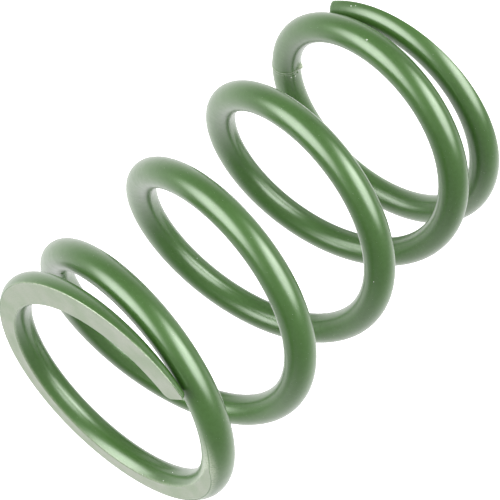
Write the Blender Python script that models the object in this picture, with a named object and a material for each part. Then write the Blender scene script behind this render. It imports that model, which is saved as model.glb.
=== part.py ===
"""A left-hand compression spring with closed and ground ends, wound from one length of round wire.

The spring stands on Z, with the middle of its lower ground face at the origin. Its wire is made in
lengths that slide on each other when the spring is compressed: a dead coil at each end, and the active
turns between them in eighths of a turn. Every cut between two lengths lies in an upright plane through
the spring's axis, so that the lengths pass each other as they slide along Z.
"""

import math
from collections import namedtuple

import bmesh
import bpy
from mathutils import Vector

# The wire and the coil; the tip's angle is the lower tip's place around the axis, anticlockwise from +X
WIRE_DIAMETER = 0.0090
BORE_DIAMETER = 0.0635
MEAN_RADIUS = (BORE_DIAMETER + WIRE_DIAMETER) / 2
TURNS = 5.233
ACTIVE_PITCH = 0.0366
TIP_ANGLE = math.radians(-36)

# An end coil: the pitch at its tip, the stretch of turns from the tip over which that pitch dies away, the
# stretch over which the active pitch builds up, and how far inside the tip's centre the grinding wheel went
EndCoil = namedtuple("EndCoil", "tip_pitch settles opens ground_past_centre")
LOWER_END = EndCoil(0.01078, (0.284, 0.584), (0.474, 1.369), 0.0016)
UPPER_END = EndCoil(0.0172, (0.189, 0.439), (0.728, 1.063), 0.00174)

# The lengths that the wire is made in
LOWER_DEAD_TURNS = 1.034
ARCS_PER_TURN = 8
ARCS = 25
CUT_GAP = 0.0003

# How finely the wire is drawn
STEPS_PER_TURN = 48
SECTION_RESOLUTION = 4
CAP_MERGE = 0.00001
CAP_REACH = 0.000002

GREEN_PAINT = (0.075, 0.185, 0.055, 1.0)
PAINT_ROUGHNESS = 0.32
PAINT_METALLIC = 0.35


def eased(x):
    """The area under a smooth step from 0 to 1 as far as x, where the step's own length is 1."""
    if x <= 0:
        return 0.0
    return x - 0.5 if x >= 1 else x**3 - x**4 / 2


def rise(turns, end):
    """How far the wire's centre has risen from the centre of an end's tip, this many turns along it."""
    settles, opens = end.settles[1] - end.settles[0], end.opens[1] - end.opens[0]
    tip_part = turns - settles * eased((turns - end.settles[0]) / settles)
    active_part = opens * eased((turns - end.opens[0]) / opens)
    return end.tip_pitch * tip_part + ACTIVE_PITCH * active_part


LOWER_TIP_Z = -LOWER_END.ground_past_centre
UPPER_TIP_Z = LOWER_TIP_Z + rise(TURNS / 2, LOWER_END) + rise(TURNS / 2, UPPER_END)
FREE_LENGTH = UPPER_TIP_Z - UPPER_END.ground_past_centre


def direction(turn):
    """The level unit vector from the axis to the wire, this many turns up the coil from the lower tip."""
    angle = TIP_ANGLE - 2 * math.pi * turn
    return Vector((math.cos(angle), math.sin(angle), 0))


def centre(turn):
    """A point of the wire's centre line, this many turns up the coil from the lower tip."""
    if turn < TURNS / 2:
        height = LOWER_TIP_Z + rise(turn, LOWER_END)
    else:
        height = UPPER_TIP_Z - rise(TURNS - turn, UPPER_END)
    return MEAN_RADIUS * direction(turn) + Vector((0, 0, height))


def new_collection(name):
    collection = bpy.data.collections.new(name)
    bpy.context.scene.collection.children.link(collection)
    return collection


def paint(name):
    material = bpy.data.materials.new(name + "_paint")
    material.use_nodes = True
    shader = material.node_tree.nodes["Principled BSDF"]
    shader.inputs["Base Color"].default_value = GREEN_PAINT
    shader.inputs["Roughness"].default_value = PAINT_ROUGHNESS
    shader.inputs["Metallic"].default_value = PAINT_METALLIC
    return material


def square_cap(mesh, turn, end, neighbour):
    """Slides the cap at this end of the wire along the wire, into the upright plane through the axis."""
    along = (end - neighbour).normalized()
    level = direction(turn).cross(Vector((0, 0, 1)))
    for vertex in mesh.verts:
        offset = vertex.co - end
        if abs(offset.dot(along)) < CAP_REACH and offset.length < WIRE_DIAMETER:
            vertex.co -= along * (offset.dot(level) / along.dot(level))


def wire(name, first, last, collection):
    """A length of the wire between two places on the coil, in turns from the lower tip."""
    steps = max(1, round((last - first) * STEPS_PER_TURN))
    turns = [first + (last - first) * i / steps for i in range(steps + 1)]
    points = [centre(turn) for turn in turns]
    curve = bpy.data.curves.new(name + "_line", "CURVE")
    curve.dimensions = "3D"
    curve.twist_mode = "Z_UP"
    curve.bevel_depth = WIRE_DIAMETER / 2
    curve.bevel_resolution = SECTION_RESOLUTION
    curve.use_fill_caps = True
    spline = curve.splines.new("POLY")
    spline.points.add(steps)
    for spline_point, point in zip(spline.points, points):
        spline_point.co = (*point, 1)
    guide = bpy.data.objects.new(name + "_line", curve)
    collection.objects.link(guide)
    evaluated = guide.evaluated_get(bpy.context.evaluated_depsgraph_get())
    mesh = bpy.data.meshes.new_from_object(evaluated)
    mesh.name = name

    shape = bmesh.new()
    shape.from_mesh(mesh)
    bmesh.ops.remove_doubles(shape, verts=shape.verts, dist=CAP_MERGE)
    square_cap(shape, turns[0], points[0], points[1])
    square_cap(shape, turns[-1], points[-1], points[-2])
    bmesh.ops.recalc_face_normals(shape, faces=shape.faces)
    shape.to_mesh(mesh)
    shape.free()
    mesh.shade_smooth()
    mesh.set_sharp_from_angle(angle=math.radians(40))

    length = bpy.data.objects.new(name, mesh)
    length.matrix_world = guide.matrix_world
    collection.objects.link(length)
    bpy.data.objects.remove(guide)
    mesh.materials.clear()
    mesh.materials.append(paint(name))
    return length


def grinding_block(name, low, high, collection):
    """What the grinding wheel takes away: everything between two heights."""
    width = 2 * BORE_DIAMETER
    bpy.ops.mesh.primitive_cube_add(size=1, location=(0, 0, (low + high) / 2))
    block = bpy.context.object
    block.name = name
    block.scale = (width, width, high - low)
    block.hide_render = True
    block.display_type = "WIRE"
    for other in block.users_collection:
        other.objects.unlink(block)
    collection.objects.link(block)
    return block


def grind(end_coil, block):
    cut = end_coil.modifiers.new("ground_face", "BOOLEAN")
    cut.operation = "DIFFERENCE"
    cut.solver = "EXACT"
    cut.object = block


def build():
    for leftover in list(bpy.data.objects):
        bpy.data.objects.remove(leftover)
    parts = new_collection("coil_spring")
    cutters = new_collection("cutters")
    half_gap = CUT_GAP / (2 * math.pi * MEAN_RADIUS) / 2

    lower_end = wire("lower_end_coil", 0, LOWER_DEAD_TURNS - half_gap, parts)
    grind(lower_end, grinding_block("lower_grinding", -WIRE_DIAMETER, 0, cutters))

    for arc in range(ARCS):
        name = f"turn_{arc // ARCS_PER_TURN + 1}_arc_{arc % ARCS_PER_TURN + 1}"
        first = LOWER_DEAD_TURNS + arc / ARCS_PER_TURN
        wire(name, first + half_gap, first + 1 / ARCS_PER_TURN - half_gap, parts)

    upper_first = LOWER_DEAD_TURNS + ARCS / ARCS_PER_TURN
    upper_end = wire("upper_end_coil", upper_first + half_gap, TURNS, parts)
    above = FREE_LENGTH + WIRE_DIAMETER
    grind(upper_end, grinding_block("upper_grinding", FREE_LENGTH, above, cutters))


build()
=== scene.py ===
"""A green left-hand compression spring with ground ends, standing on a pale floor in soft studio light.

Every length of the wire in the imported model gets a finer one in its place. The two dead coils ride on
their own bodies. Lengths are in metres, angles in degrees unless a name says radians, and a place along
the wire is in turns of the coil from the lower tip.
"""

import math
from collections import namedtuple

import bpy
import numpy as np
from mathutils import Matrix, Vector, noise


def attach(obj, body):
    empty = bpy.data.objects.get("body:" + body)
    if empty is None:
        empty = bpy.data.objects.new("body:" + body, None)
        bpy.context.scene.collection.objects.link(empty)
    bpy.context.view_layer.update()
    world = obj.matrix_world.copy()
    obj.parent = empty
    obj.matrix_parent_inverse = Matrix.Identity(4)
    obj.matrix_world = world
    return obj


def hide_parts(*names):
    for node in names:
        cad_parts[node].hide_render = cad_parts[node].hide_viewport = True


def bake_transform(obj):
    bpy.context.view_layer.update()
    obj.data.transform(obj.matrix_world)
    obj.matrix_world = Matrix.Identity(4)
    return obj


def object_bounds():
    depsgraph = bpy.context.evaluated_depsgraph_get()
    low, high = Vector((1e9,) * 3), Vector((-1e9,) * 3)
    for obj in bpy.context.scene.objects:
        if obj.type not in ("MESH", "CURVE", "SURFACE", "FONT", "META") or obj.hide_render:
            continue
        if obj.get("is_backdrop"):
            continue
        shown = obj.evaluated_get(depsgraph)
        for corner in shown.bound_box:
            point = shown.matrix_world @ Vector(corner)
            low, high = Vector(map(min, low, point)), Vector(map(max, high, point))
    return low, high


MM = 0.001

# The coil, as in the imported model
WIRE_RADIUS = 4.5 * MM
MEAN_RADIUS = 36.25 * MM
TURNS = 5.233
ACTIVE_PITCH = 36.6 * MM
TIP_ANGLE = -36
EndCoil = namedtuple("EndCoil", "tip_pitch settles opens ground_past_centre")
LOWER_END = EndCoil(10.78 * MM, (0.284, 0.584), (0.474, 1.369), 1.6 * MM)
UPPER_END = EndCoil(17.2 * MM, (0.189, 0.439), (0.728, 1.063), 1.74 * MM)
LOWER_DEAD_TURNS = 1.034
ARCS_PER_TURN = 8
ARCS = 25
UPPER_DEAD_FROM = LOWER_DEAD_TURNS + ARCS / ARCS_PER_TURN

# How the travel is shared out along the wire: none in the dead coils, eased in and out over this many turns
SHARE_EASE = 0.25

# How finely the wire is drawn
RINGS_PER_TURN = 128
COLUMNS = 56
GROUND_COLUMNS = 15
FILLET_COLUMNS = 3
FILLET = 0.28 * MM
LEAST_GROUND_ANGLE = np.radians(8)

# The rounding of a cut tip: the inner and outer corners of its ground face, and the back
Nose = namedtuple("Nose", "inner outer back rings")
UPPER_NOSE = Nose(2.3 * MM, 0.9 * MM, 1.2 * MM, 12)
LOWER_NOSE = Nose(1.0 * MM, 2.2 * MM, 1.4 * MM, 12)


def eased(x):
    """The area under a smooth step from 0 to 1 as far as x, where the step's own length is 1."""
    x = np.asarray(x, float)
    return np.where(x <= 0, 0, np.where(x >= 1, x - 0.5, x**3 - x**4 / 2))


def rise(turns, end):
    """How far the wire's centre has risen from the centre of an end's tip, this many turns along it."""
    settles, opens = end.settles[1] - end.settles[0], end.opens[1] - end.opens[0]
    tip_part = turns - settles * eased((turns - end.settles[0]) / settles)
    active_part = opens * eased((turns - end.opens[0]) / opens)
    return end.tip_pitch * tip_part + ACTIVE_PITCH * active_part


LOWER_TIP_Z = -LOWER_END.ground_past_centre
UPPER_TIP_Z = LOWER_TIP_Z + rise(TURNS / 2, LOWER_END) + rise(TURNS / 2, UPPER_END)
FREE_LENGTH = UPPER_TIP_Z - UPPER_END.ground_past_centre


def height(turn):
    from_below = LOWER_TIP_Z + rise(turn, LOWER_END)
    from_above = UPPER_TIP_Z - rise(TURNS - turn, UPPER_END)
    return np.where(turn < TURNS / 2, from_below, from_above)


def wire_frame(turn):
    """The centre of the wire there, and its directions outward from the axis, upward and along."""
    turn = np.asarray(turn, float)
    angle = np.radians(TIP_ANGLE) - 2 * np.pi * turn
    flat = np.zeros_like(angle)
    outward = np.stack([np.cos(angle), np.sin(angle), flat], -1)
    step = 1e-4
    climb = (height(turn + step) - height(turn - step)) / (2 * step)
    level = 2 * np.pi * MEAN_RADIUS
    along = np.stack([level * np.sin(angle), -level * np.cos(angle), climb], -1)
    along /= np.linalg.norm(along, axis=-1, keepdims=True)
    centre = MEAN_RADIUS * outward
    centre[..., 2] = height(turn)
    return centre, outward, np.cross(along, outward), along


def share(turn):
    """The share of the spring's travel that reaches this place: 0 in the lower dead coil, 1 in the upper."""

    def grown(x):
        return SHARE_EASE * eased(x / SHARE_EASE)

    def so_far(x):
        return grown(x - LOWER_DEAD_TURNS) - grown(x - UPPER_DEAD_FROM + SHARE_EASE)

    return so_far(np.asarray(turn, float)) / so_far(UPPER_DEAD_FROM + 1)


def ground_section(reach):
    """Outlines of wire sections that are ground flat at these heights above the wire's centre.

    Returns x outward and y towards the grinding wheel, a row for each section. The columns go over the
    round back from one edge of the flat to the other, then back across the flat.
    """
    reach = np.asarray(reach, float)[:, None] / WIRE_RADIUS
    angle = np.maximum(np.arccos(np.clip(reach, -1, 1)), LEAST_GROUND_ANGLE)
    half_width = np.sin(angle)
    fillet = np.minimum(FILLET / WIRE_RADIUS, 0.3 * half_width)
    back = angle + fillet + np.linspace(0, 1, COLUMNS) * (2 * np.pi - 2 * angle - 2 * fillet)
    across = np.linspace(-1, 1, GROUND_COLUMNS) * (half_width - fillet)
    over = np.minimum(np.sqrt(1 - np.minimum(across**2, 1)), reach)
    edge = np.minimum(np.cos(angle), reach)
    share_of_way = np.linspace(0, 1, FILLET_COLUMNS + 2)[1:-1]
    a, b = (1 - share_of_way) ** 2, share_of_way**2
    mid = 2 * share_of_way * (1 - share_of_way)
    inner_x = a * np.sin(back[:, -1:]) + mid * -half_width + b * across[:, :1]
    inner_y = a * np.cos(back[:, -1:]) + mid * edge + b * over[:, :1]
    x = np.hstack([np.sin(back), inner_x, across, -inner_x[:, ::-1]])
    y = np.hstack([np.cos(back), inner_y, over, inner_y[:, ::-1]])
    return x * WIRE_RADIUS, y * WIRE_RADIUS


FIRST_GROUND_COLUMN = COLUMNS + FILLET_COLUMNS
LAST_GROUND_COLUMN = FIRST_GROUND_COLUMN + GROUND_COLUMNS - 1
MIDDLE_COLUMN = FIRST_GROUND_COLUMN + GROUND_COLUMNS // 2
ON_GROUND = slice(FIRST_GROUND_COLUMN, LAST_GROUND_COLUMN)
FLAT_TO = 1e-6


def corner_inset(radius, from_end):
    """How far a rounded corner of this radius lies inside the side, this far from the end."""
    left = np.clip(radius - from_end, 0, radius)
    return radius - np.sqrt(radius**2 - left**2)


# The mark that the painting hook left: a ridge of paint round the wire with a thin flap on its inner side
HOOK_TURN = 0.860
HOOK_SPAN = 0.018
HOOK_RING = 0.14 * MM
HOOK_WANDER = 0.25 * MM
RIDGE = (0.30 * MM, 0.15 * MM)
SECOND_RIDGE = (-0.75 * MM, 0.07 * MM)
RIDGE_WIDTH = 0.22 * MM
FLAP_AT = np.radians(192)
FLAP_SIZE = (1.15 * MM, np.radians(13), 1.15 * MM)
FLAP_OFFSET = 0.9 * MM

# How thin the paint is where it goes over the edge of a ground face and how deep that reaches, both greater
# where the face runs out, and how much of the lower tip's outer corner is rubbed, from bare end to full paint
EDGE_RUB = 0.35
EDGE_RUB_DEPTH = 0.22 * MM
RUN_OUT_RUB = 0.45
RUN_OUT_DEPTH = 0.55 * MM
TIP_RUB = 1.6 * MM
TIP_BARE = 0.2 * MM

# The pale line along the outer edge of the upper ground face, and over how far its ends fade
PALE_EDGE_LINE_TURNS = (0.015, 0.30)
PALE_EDGE_LINE_FADES = (0.01, 0.1)


def hook_mark(turn, around):
    """How far the paint stands proud here, and how far it is rubbed pale, around the hook's mark."""
    place = 2 * np.pi * MEAN_RADIUS * (turn - HOOK_TURN) - HOOK_WANDER * np.cos(2 * around + 0.6)
    proud, rubbed = np.zeros_like(place), np.zeros_like(place)
    ripple = 0.62 + 0.38 * np.sin(7 * around + 2.0 * np.sin(3 * around))
    for centre, amount in (RIDGE, SECOND_RIDGE):
        ring = np.exp(-(((place - centre) / RIDGE_WIDTH) ** 2)) * ripple
        proud += amount * ring
        rubbed += ring * amount / RIDGE[1]
    width, spread, amount = FLAP_SIZE
    off = (around - FLAP_AT + np.pi) % (2 * np.pi) - np.pi
    flap = np.exp(-(((place - FLAP_OFFSET) / width) ** 2) - (off / spread) ** 2)
    proud += amount * flap
    return proud, np.clip(0.75 * rubbed + 2.0 * flap, 0, 1)


def grid_faces(rings, columns):
    """Quads over a tube of rings, each ring closed on itself."""
    i, j = np.meshgrid(np.arange(rings - 1), np.arange(columns), indexing="ij")
    k = (j + 1) % columns
    quads = [i * columns + j, i * columns + k, (i + 1) * columns + k, (i + 1) * columns + j]
    return np.stack(quads, -1).reshape(-1, 4)


def grid_normals(points):
    """The smooth normals of a tube of rings, weighted by area."""
    rings, columns, _ = points.shape
    flat = points.reshape(-1, 3)
    quads = grid_faces(rings, columns)
    a, b, c, d = (flat[quads[:, n]] for n in range(4))
    face_normal = np.cross(c - a, d - b)
    total = np.zeros_like(flat)
    for n in range(4):
        np.add.at(total, quads[:, n], face_normal)
    total /= np.linalg.norm(total, axis=1, keepdims=True)
    return total.reshape(points.shape)


def tube(name, points, normals, along, section, extras):
    """A closed length of wire from its rings, with its normals and the values its material reads."""
    rings, columns, _ = points.shape
    quads = grid_faces(rings, columns)
    first = np.arange(columns)[::-1]
    last = np.arange(columns) + (rings - 1) * columns
    a, b, c, _ = points.reshape(-1, 3)[quads[0]]
    inside_out = np.dot(np.cross(b - a, c - b), normals[0, 0]) < 0
    faces = [list(map(int, face)) for face in [*quads, first, last]]
    if inside_out:
        faces = [face[::-1] for face in faces]
    mesh = bpy.data.meshes.new(name)
    mesh.from_pydata(points.reshape(-1, 3).tolist(), [], faces)
    place = np.stack([np.broadcast_to(along[:, None], section[0].shape), *section], -1)
    attribute = mesh.attributes.new("wire_place", "FLOAT_VECTOR", "POINT")
    attribute.data.foreach_set("vector", place.astype(np.float32).ravel())
    for extra, values in extras.items():
        attribute = mesh.attributes.new(extra, "FLOAT", "POINT")
        attribute.data.foreach_set("value", values.astype(np.float32).ravel())
    mesh.shade_smooth()
    loops = np.empty(len(mesh.loops), int)
    mesh.loops.foreach_get("vertex_index", loops)
    loop_normals = normals.reshape(-1, 3)[loops]
    for cap in (mesh.polygons[-2], mesh.polygons[-1]):
        loop_normals[cap.loop_start : cap.loop_start + cap.loop_total] = cap.normal
    mesh.normals_split_custom_set(loop_normals.tolist())
    piece = bpy.data.objects.new(name, mesh)
    bpy.context.scene.collection.objects.link(piece)
    return piece


def wire_length(turn):
    return 2 * np.pi * MEAN_RADIUS * np.asarray(turn, float)


def end_coil(name, tip, joint, end_z, nose):
    """A dead coil from the tip of the wire to its first joint, ground flat at end_z."""
    way = 1 if joint > tip else -1
    towards = -way
    radius = max(nose.inner, nose.outer, nose.back)
    in_nose = radius * (1 - np.cos(np.linspace(0, np.pi / 2, nose.rings, endpoint=False)))
    steps = int(round(abs(joint - tip) * RINGS_PER_TURN))
    rest = np.linspace(radius / wire_length(1), abs(joint - tip), steps)
    near_hook = np.abs(tip + way * rest - HOOK_TURN) < HOOK_SPAN
    if near_hook.any():
        fine = HOOK_TURN * way - tip * way + np.arange(-HOOK_SPAN, HOOK_SPAN, HOOK_RING / wire_length(1))
        rest = np.sort(np.concatenate([rest[~near_hook], fine]))
    from_tip = np.concatenate([in_nose / wire_length(1), rest, [rest[-1] + 1 / RINGS_PER_TURN]])
    turn = tip + way * from_tip
    centre, outward, upward, _ = wire_frame(turn)
    wheel = towards * upward
    reach = towards * (end_z - centre[:, 2]) / upward[:, 2]
    x, y = ground_section(reach)
    length = from_tip[:, None] * wire_length(1)
    low, high = x.min(1, keepdims=True), x.max(1, keepdims=True)
    inner, outer = corner_inset(nose.inner, length), corner_inset(nose.outer, length)
    x = low + inner + (x - low) * (high - low - inner - outer) / (high - low)
    top, bottom = y.max(1, keepdims=True), y.min(1, keepdims=True)
    y = top - (top - y) * (top - bottom - corner_inset(nose.back, length)) / (top - bottom)
    around = np.arctan2(y * towards, x) % (2 * np.pi)
    runs_out = np.clip(reach[:, None] / WIRE_RADIUS, 0, 1) ** 8
    depth = EDGE_RUB_DEPTH + RUN_OUT_DEPTH * runs_out
    rubbed = (EDGE_RUB + RUN_OUT_RUB * runs_out) * np.exp(-(((reach[:, None] - y) / depth) ** 2))
    if near_hook.any():
        proud, marked = hook_mark(turn[:, None], around)
        corner = np.clip(1 - length / TIP_RUB, 0, 1) * np.clip(2 * x / WIRE_RADIUS, 0, 1)
        corner *= np.clip(length / TIP_BARE, 0, 1)
        rubbed = np.maximum(np.maximum(rubbed, marked), corner)
        grown = 1 + proud / np.hypot(x, y)
        x, y = x * grown, y * grown
    else:
        # A pale line along the outer edge of the upper ground face, in the rubbed paint's colour
        start, stop = PALE_EDGE_LINE_TURNS
        begins, ends = PALE_EDGE_LINE_FADES
        fade = np.clip((from_tip - start) / begins, 0, 1) * np.clip((stop - from_tip) / ends, 0, 1)
        columns = [LAST_GROUND_COLUMN, -FILLET_COLUMNS, -FILLET_COLUMNS + 1]
        rubbed[:, columns] = fade[:, None]
    points = centre[:, None] + x[..., None] * outward[:, None] + y[..., None] * wheel[:, None]
    normals = grid_normals(points)
    if np.dot(normals[-1, 0], points[-1, 0] - centre[-1]) < 0:
        normals = -normals
    keep = slice(0, len(turn) - 1)
    section = (x[keep], y[keep] * towards)
    extras = {"rubbed": rubbed[keep]}
    piece = tube(name, points[keep], normals[keep], wire_length(turn[keep]), section, extras)
    on_ground = np.zeros(len(piece.data.polygons), int)
    bands = on_ground[:-2].reshape(-1, x.shape[1])
    bands[:, ON_GROUND] = y[:-2, ON_GROUND] - y[:-2, MIDDLE_COLUMN][:, None] > -FLAT_TO
    ground = reach[:-2] < WIRE_RADIUS * np.cos(LEAST_GROUND_ANGLE)
    bands[~ground] = 0
    piece.data.materials.append(None)
    piece.data.materials.append(None)
    piece.data.polygons.foreach_set("material_index", on_ground)
    return piece


def active_length(name, first, last):
    """A length of the active wire, round all along."""
    steps = int(round((last - first) * RINGS_PER_TURN))
    turn = np.linspace(first, last, steps + 1)
    centre, outward, upward, _ = wire_frame(turn)
    around = np.linspace(0, 2 * np.pi, COLUMNS, endpoint=False)
    x = np.broadcast_to(np.cos(around) * WIRE_RADIUS, (len(turn), COLUMNS))
    y = np.broadcast_to(np.sin(around) * WIRE_RADIUS, (len(turn), COLUMNS))
    away = x[..., None] * outward[:, None] + y[..., None] * upward[:, None]
    normals = away / WIRE_RADIUS
    points = centre[:, None] + away
    piece = tube(name, points, normals, wire_length(turn), (x, y), {})
    piece.data.materials.append(None)
    bend(piece, np.repeat(share(turn), COLUMNS))
    return piece


def bend(piece, shares):
    """Bakes the piece's transform into its mesh.

    The shares are not used.
    """
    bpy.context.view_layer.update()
    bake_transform(piece)


# Specks and small lumps in the paint: place in turns, degrees round the wire from its outer side, width,
# height and how far it is stretched along the wire
Nib = namedtuple("Nib", "turn around width height stretch")
PALE_NIBS = (
    Nib(0.0407, 36, 0.22, 0.12, 1.2),
    Nib(0.0470, 30, 0.16, 0.10, 1.0),
    Nib(1.0969, 27, 0.24, 0.12, 1.3),
    Nib(4.4947, 176, 0.24, 0.12, 1.0),
    Nib(4.5498, 129, 0.20, 0.12, 1.0),
    Nib(4.5069, 138, 0.17, 0.10, 1.4),
    Nib(3.2089, 300, 0.22, 0.12, 1.0),
    Nib(0.8506, 148, 0.26, 0.20, 1.0),
    Nib(0.8496, 166, 0.24, 0.18, 1.0),
    Nib(2.3311, 75, 0.15, 0.08, 1.5),
    Nib(1.7511, 285, 0.17, 0.09, 1.0),
    Nib(2.7211, 200, 0.16, 0.09, 1.2),
)
GREEN_NIBS = (
    Nib(3.9266, 152, 0.55, 0.35, 1.8),
    Nib(0.8551, 120, 0.30, 0.22, 1.2),
    Nib(0.8551, 178, 0.34, 0.26, 1.1),
    Nib(3.6211, 250, 0.25, 0.12, 2.4),
)


NIB_RINGS, NIB_SIDES = 6, 14
NIB_SUNK = 0.06
NIB_UNEVEN = 0.22


def nibs(name, listed):
    """Small lumps standing in the paint, sunk a little into the wire."""
    verts, faces, shares = [], [], []
    rings, sides = NIB_RINGS, NIB_SIDES
    for number, nib in enumerate(listed):
        centre, outward, upward, along = (Vector(v) for v in wire_frame(nib.turn))
        angle = math.radians(nib.around)
        up = outward * math.cos(angle) + upward * math.sin(angle)
        side = along.cross(up)
        foot = centre + up * (WIRE_RADIUS - NIB_SUNK * MM)
        base = len(verts)
        verts.append(foot + up * (nib.height + NIB_SUNK) * MM)
        for ring in range(1, rings + 1):
            slope = ring / rings * math.pi / 2
            for step in range(sides):
                turn = 2 * math.pi * step / sides
                spot = Vector((3 * math.cos(turn), 3 * math.sin(turn), 7.3 * number))
                lump = 1 + NIB_UNEVEN * noise.noise(spot)
                reach = nib.width * MM * math.sin(slope) * lump
                level = (nib.height + NIB_SUNK) * MM * math.cos(slope)
                off = along * (math.cos(turn) * reach * nib.stretch) + side * (math.sin(turn) * reach)
                sink = reach**2 / (2 * WIRE_RADIUS)
                verts.append(foot + off + up * (level - sink * abs(math.sin(turn))))
        for step in range(sides):
            after = (step + 1) % sides
            faces.append((base, base + 1 + step, base + 1 + after))
            for ring in range(rings - 1):
                row = base + 1 + ring * sides
                faces.append((row + step, row + sides + step, row + sides + after, row + after))
        faces.append([base + 1 + (rings - 1) * sides + step for step in reversed(range(sides))])
        shares += [float(share(nib.turn))] * (1 + rings * sides)
    mesh = bpy.data.meshes.new(name)
    mesh.from_pydata([tuple(v) for v in verts], [], faces)
    mesh.shade_smooth()
    piece = bpy.data.objects.new(name, mesh)
    bpy.context.scene.collection.objects.link(piece)
    bend(piece, np.array(shares))
    return piece


# The paint on the wire. RUBBED_PAINT shows where it is thin, and DUST is what lies in it and on it
PAINT_DEEP = (0.044, 0.127, 0.015, 1)
PAINT_LIGHT = (0.052, 0.146, 0.020, 1)
PAINT_MOTTLE = (0.064, 0.168, 0.031, 1)
RUBBED_PAINT = (0.52, 0.60, 0.43, 1)
DUST = (0.42, 0.50, 0.38, 1)
DUST_LIGHT = (0.7, 0.76, 0.66, 1)
PAINT_ROUGHNESS = (0.33, 0.40)
PAINT_METALLIC = 0.25
PAINT_IOR = 1.5
COAT_WEIGHT = 1.0
COAT_IOR = 1.78
COAT_ROUGHNESS = 0.25
NIB_ROUGHNESS = 0.4

# The paint on the ground faces, its tones pale with a painted reflection of the white surroundings,
# and how far the grinding marks are drawn out along the wire
GROUND_SHEEN_GREEN = (0.32, 0.39, 0.275, 1)
GROUND_SHEEN_GREY = (0.41, 0.445, 0.365, 1)
GROUND_SHEEN_DARK = (0.25, 0.30, 0.215, 1)
GROUND_ROUGHNESS = (0.50, 0.62)
GROUND_COAT_WEIGHT = 0.1
GROUND_COAT_ROUGHNESS = 0.35
GRINDING_STRETCH = (0.12, 1.0, 1.0)

# How deep the bumps in either paint go
BUMP_DEPTH = 0.03 * MM


class Nodes:
    """Builds a node tree, one node to a call. An input is given by its name, or by i and its number."""

    def __init__(self, tree):
        self.tree = tree

    def add(self, kind, settings=None, **inputs):
        node = self.tree.nodes.new(kind)
        for name, value in (settings or {}).items():
            setattr(node, name, value)
        for name, value in inputs.items():
            by_number = name[0] == "i" and name[1:].isdigit()
            socket = node.inputs[int(name[1:]) if by_number else name.replace("_", " ")]
            if isinstance(value, bpy.types.NodeSocket):
                self.tree.links.new(value, socket)
            else:
                socket.default_value = value
        return node

    def noise(self, place, scale, detail=3.0, roughness=0.55):
        """Noise whose features are about 1/scale millimetres across."""
        node = self.add("ShaderNodeTexNoise", Vector=place, Scale=scale, Detail=detail, Roughness=roughness)
        return node.outputs[0]

    def remap(self, value, low, high, to_low, to_high):
        """A smooth step from to_low to to_high as the value goes from low to high."""
        settings = {"interpolation_type": "SMOOTHSTEP", "clamp": True}
        ends = {"From_Min": low, "From_Max": high, "To_Min": to_low, "To_Max": to_high}
        return self.add("ShaderNodeMapRange", settings, Value=value, **ends).outputs[0]

    def mix(self, factor, a, b):
        node = self.add("ShaderNodeMix", {"data_type": "RGBA"}, i0=factor, i6=a, i7=b)
        return node.outputs[2]

    def maths(self, operation, a, b):
        return self.add("ShaderNodeMath", {"operation": operation}, i0=a, i1=b).outputs[0]


def new_material(name):
    """A new material, its nodes, its shader and the place along and across the wire in millimetres."""
    material = bpy.data.materials.new(name)
    material.use_nodes = True
    nodes = Nodes(material.node_tree)
    shader = material.node_tree.nodes["Principled BSDF"]
    place = nodes.add("ShaderNodeAttribute", {"attribute_name": "wire_place"}).outputs["Vector"]
    in_mm = nodes.add("ShaderNodeVectorMath", {"operation": "SCALE"}, i0=place, Scale=1000.0).outputs[0]
    return material, nodes, shader, in_mm


def wire_paint():
    """The satin green paint, mottled, with dust in it, and pale where it is rubbed thin."""
    material, nodes, shader, place = new_material("satin_green_paint")
    broad = nodes.remap(nodes.noise(place, 0.05, 2.0), 0.3, 0.7, 0.0, 1.0)
    mottle = nodes.remap(nodes.noise(place, 0.9, 4.0), 0.32, 0.68, 0.0, 1.0)
    colour = nodes.mix(broad, PAINT_DEEP, PAINT_LIGHT)
    colour = nodes.mix(nodes.maths("MULTIPLY", mottle, 0.35), colour, PAINT_MOTTLE)
    rubbed = nodes.add("ShaderNodeAttribute", {"attribute_name": "rubbed"}).outputs["Fac"]
    broken = nodes.remap(nodes.noise(place, 1.6, 3.0), 0.32, 0.6, 0.55, 1.0)
    worn = nodes.maths("MULTIPLY", rubbed, broken)
    colour = nodes.mix(worn, colour, RUBBED_PAINT)
    dust = nodes.remap(nodes.noise(place, 3.4, 1.0), 0.765, 0.80, 0.0, 0.7)
    colour = nodes.mix(dust, colour, DUST)
    nodes.tree.links.new(colour, shader.inputs["Base Color"])
    rough = nodes.remap(nodes.noise(place, 0.35, 3.0), 0.3, 0.7, *PAINT_ROUGHNESS)
    rough = nodes.maths("ADD", rough, nodes.maths("MULTIPLY", worn, 0.15))
    nodes.tree.links.new(rough, shader.inputs["Roughness"])
    peel = nodes.noise(place, 0.85, 2.0, 0.45)
    grain = nodes.noise(place, 5.0, 2.0, 0.6)
    surface = nodes.maths("ADD", peel, nodes.maths("MULTIPLY", grain, 0.12))
    bump = nodes.add("ShaderNodeBump", Height=surface, Strength=0.35, Distance=BUMP_DEPTH)
    nodes.tree.links.new(bump.outputs[0], shader.inputs["Normal"])
    shader.inputs["Metallic"].default_value = PAINT_METALLIC
    shader.inputs["Coat Weight"].default_value = COAT_WEIGHT
    shader.inputs["Coat Roughness"].default_value = COAT_ROUGHNESS
    shader.inputs["Coat IOR"].default_value = COAT_IOR
    shader.inputs["IOR"].default_value = PAINT_IOR
    return material


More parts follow.
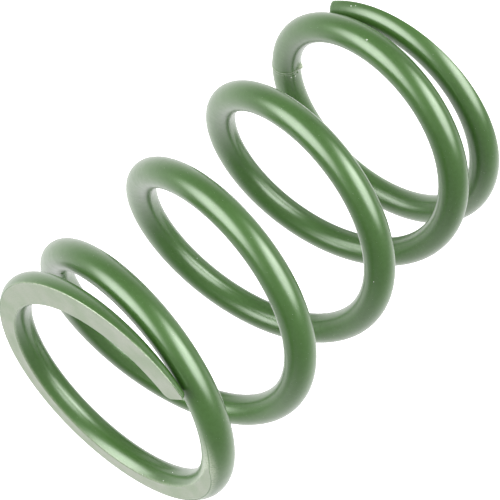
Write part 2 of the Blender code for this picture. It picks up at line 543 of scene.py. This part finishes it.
def ground_paint_and_sheen():
    """The paint on the ground end faces, dull over the grinding marks, its colour pale with a painted
    reflection.
    """
    material, nodes, shader, place = new_material("ground_face_paint_and_sheen")
    stretched = nodes.add("ShaderNodeVectorMath", {"operation": "MULTIPLY"}, i0=place, i1=GRINDING_STRETCH)
    marks = nodes.noise(stretched.outputs[0], 2.2, 4.0, 0.6)
    cloud = nodes.remap(nodes.noise(place, 0.12, 3.0), 0.3, 0.7, 0.0, 1.0)
    grit = nodes.remap(nodes.noise(place, 2.6, 3.0), 0.35, 0.65, 0.0, 1.0)
    # Painted reflection: these ground face tones are pale to stand for the white the flat faces reflect
    colour = nodes.mix(cloud, GROUND_SHEEN_GREEN, GROUND_SHEEN_GREY)
    colour = nodes.mix(nodes.maths("MULTIPLY", grit, 0.22), colour, GROUND_SHEEN_DARK)
    nodes.tree.links.new(colour, shader.inputs["Base Color"])
    rough = nodes.remap(marks, 0.3, 0.7, *GROUND_ROUGHNESS)
    nodes.tree.links.new(rough, shader.inputs["Roughness"])
    height_map = nodes.maths("ADD", marks, nodes.maths("MULTIPLY", grit, 0.3))
    bump = nodes.add("ShaderNodeBump", Height=height_map, Strength=0.4, Distance=BUMP_DEPTH)
    nodes.tree.links.new(bump.outputs[0], shader.inputs["Normal"])
    shader.inputs["Coat Weight"].default_value = GROUND_COAT_WEIGHT
    shader.inputs["Coat Roughness"].default_value = GROUND_COAT_ROUGHNESS
    return material


def nib_paint(name, colour, other):
    """Paint for the specks and lumps, between two tones."""
    material, nodes, shader, _ = new_material(name)
    place = nodes.add("ShaderNodeTexCoord").outputs["Object"]
    tone = nodes.remap(nodes.noise(place, 4000.0, 2.0), 0.35, 0.65, 0.0, 1.0)
    nodes.tree.links.new(nodes.mix(tone, colour, other), shader.inputs["Base Color"])
    shader.inputs["Roughness"].default_value = NIB_ROUGHNESS
    return material


# The studio: the light of each soft box by its direction, how far its even part and its fading edge reach,
# and its strength, and the light from everywhere else
SoftBox = namedtuple("SoftBox", "direction core edge strength")
SOFT_BOXES = (
    SoftBox((0.583, -0.328, 0.743), 12, 36, 4.7),
    SoftBox((-0.538, -0.826, -0.167), 12, 34, 4.7),
    SoftBox((-0.215, -0.879, -0.426), 5, 22, 2.5),
    SoftBox((0.125, 0.878, -0.463), 45, 100, 0.8),
)
AMBIENT = 0.33
FLOOR_TONE = (0.86, 0.86, 0.85, 1)
FLOOR_GLOW = 1.0
FLOOR_HALF = 4.0


def studio():
    """The light from all round, with its soft boxes. The camera sees plain white instead."""
    world = bpy.data.worlds.new("studio")
    bpy.context.scene.world = world
    world.use_nodes = True
    nodes = Nodes(world.node_tree)
    backdrop = world.node_tree.nodes["Background"]
    output = world.node_tree.nodes["World Output"]
    direction = nodes.add("ShaderNodeTexCoord").outputs["Generated"]
    total = AMBIENT
    for box in SOFT_BOXES:
        towards = tuple(Vector(box.direction).normalized())
        facing = nodes.add("ShaderNodeVectorMath", {"operation": "DOT_PRODUCT"}, i0=direction, i1=towards)
        core, edge = np.cos(np.radians(box.core)), np.cos(np.radians(box.edge))
        light = nodes.remap(facing.outputs["Value"], edge, core, 0.0, box.strength)
        total = nodes.maths("ADD", light, total)
    glow = nodes.add("ShaderNodeBackground", Color=(1, 1, 1, 1), Strength=total)
    seen = nodes.add("ShaderNodeLightPath").outputs["Is Camera Ray"]
    both = nodes.add("ShaderNodeMixShader", i0=seen, i1=glow.outputs[0], i2=backdrop.outputs[0])
    backdrop.inputs["Color"].default_value = (1, 1, 1, 1)
    backdrop.inputs["Strength"].default_value = 1.0
    world.node_tree.links.new(both.outputs[0], output.inputs["Surface"])


def studio_floor():
    """A wide pale floor, which neither shades the spring nor shows in its gloss."""
    corners = [(x * FLOOR_HALF, y * FLOOR_HALF, 0) for x, y in ((-1, -1), (1, -1), (1, 1), (-1, 1))]
    mesh = bpy.data.meshes.new("floor")
    mesh.from_pydata(corners, [], [(0, 1, 2, 3)])
    floor = bpy.data.objects.new("floor", mesh)
    bpy.context.scene.collection.objects.link(floor)
    material = bpy.data.materials.new("pale_floor")
    material.use_nodes = True
    shader = material.node_tree.nodes["Principled BSDF"]
    shader.inputs["Base Color"].default_value = FLOOR_TONE
    shader.inputs["Roughness"].default_value = 0.9
    shader.inputs["Specular IOR Level"].default_value = 0.1
    shader.inputs["Emission Color"].default_value = (1, 1, 1, 1)
    shader.inputs["Emission Strength"].default_value = FLOOR_GLOW
    mesh.materials.append(material)
    floor.visible_glossy = False
    floor.visible_shadow = False
    floor.visible_diffuse = False
    floor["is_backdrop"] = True


# The camera stands this far from the middle of the spring, this far round from +X and above its middle,
# aims a little off that middle, and is rolled, so that the upright spring lies aslant in the picture
CAMERA_DISTANCE = 0.49977
CAMERA_ROUND = -98.447
CAMERA_ABOVE = 27.817
CAMERA_ROLL = -135.113
CAMERA_LENS = 123.95
AIM_OFFSET = Vector((0.19, 1.05, 2.04)) * MM


def camera():
    low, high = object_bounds()
    middle = (low + high) / 2
    round_angle, above = np.radians(CAMERA_ROUND), np.radians(CAMERA_ABOVE)
    level = np.cos(above)
    back = Vector((level * np.cos(round_angle), level * np.sin(round_angle), np.sin(above)))
    place = middle + back * CAMERA_DISTANCE
    look = (middle + AIM_OFFSET - place).normalized()
    right = look.cross(Vector((0, 0, 1))).normalized()
    axes = Matrix((right, right.cross(look), -look)).transposed()
    data = bpy.data.cameras.new("camera")
    data.lens = CAMERA_LENS
    data.sensor_width = 36
    data.clip_start, data.clip_end = 0.01, 50
    seen_from = bpy.data.objects.new("camera", data)
    turned = axes.to_4x4() @ Matrix.Rotation(np.radians(CAMERA_ROLL), 4, "Z")
    seen_from.matrix_world = Matrix.Translation(place) @ turned
    bpy.context.scene.collection.objects.link(seen_from)
    bpy.context.scene.camera = seen_from
    bpy.context.scene.view_settings.view_transform = "Standard"


def build_spring():
    """Every length of the wire in place of its node, and the specks in its paint."""
    paint, ground = wire_paint(), ground_paint_and_sheen()
    ends = {
        "lower_end_coil": (0, LOWER_DEAD_TURNS, 0.0, LOWER_NOSE),
        "upper_end_coil": (TURNS, UPPER_DEAD_FROM, FREE_LENGTH, UPPER_NOSE),
    }
    for node, shape in ends.items():
        piece = end_coil(node + "_wire", *shape)
        piece.data.materials[1] = ground
        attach(piece, node)
        finish_length(piece, node, paint)
    for arc in range(ARCS):
        node = f"turn_{arc // ARCS_PER_TURN + 1}_arc_{arc % ARCS_PER_TURN + 1}"
        first = LOWER_DEAD_TURNS + arc / ARCS_PER_TURN
        piece = active_length(node + "_wire", first, first + 1 / ARCS_PER_TURN)
        finish_length(piece, node, paint)
    nibs("pale_paint_nibs", PALE_NIBS).data.materials.append(nib_paint("dust", DUST, DUST_LIGHT))
    nibs("green_paint_nibs", GREEN_NIBS).data.materials.append(nib_paint("lump", PAINT_LIGHT, PAINT_DEEP))


def finish_length(piece, node, paint):
    piece.data.materials[0] = paint
    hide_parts(node)


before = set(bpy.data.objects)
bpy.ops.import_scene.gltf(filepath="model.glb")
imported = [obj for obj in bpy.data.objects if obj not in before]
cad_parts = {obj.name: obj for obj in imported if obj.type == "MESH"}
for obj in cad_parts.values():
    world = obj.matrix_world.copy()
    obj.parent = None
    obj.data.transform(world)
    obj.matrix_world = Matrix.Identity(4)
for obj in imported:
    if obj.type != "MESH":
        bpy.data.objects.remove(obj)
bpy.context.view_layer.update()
camera()
build_spring()
studio_floor()
studio()
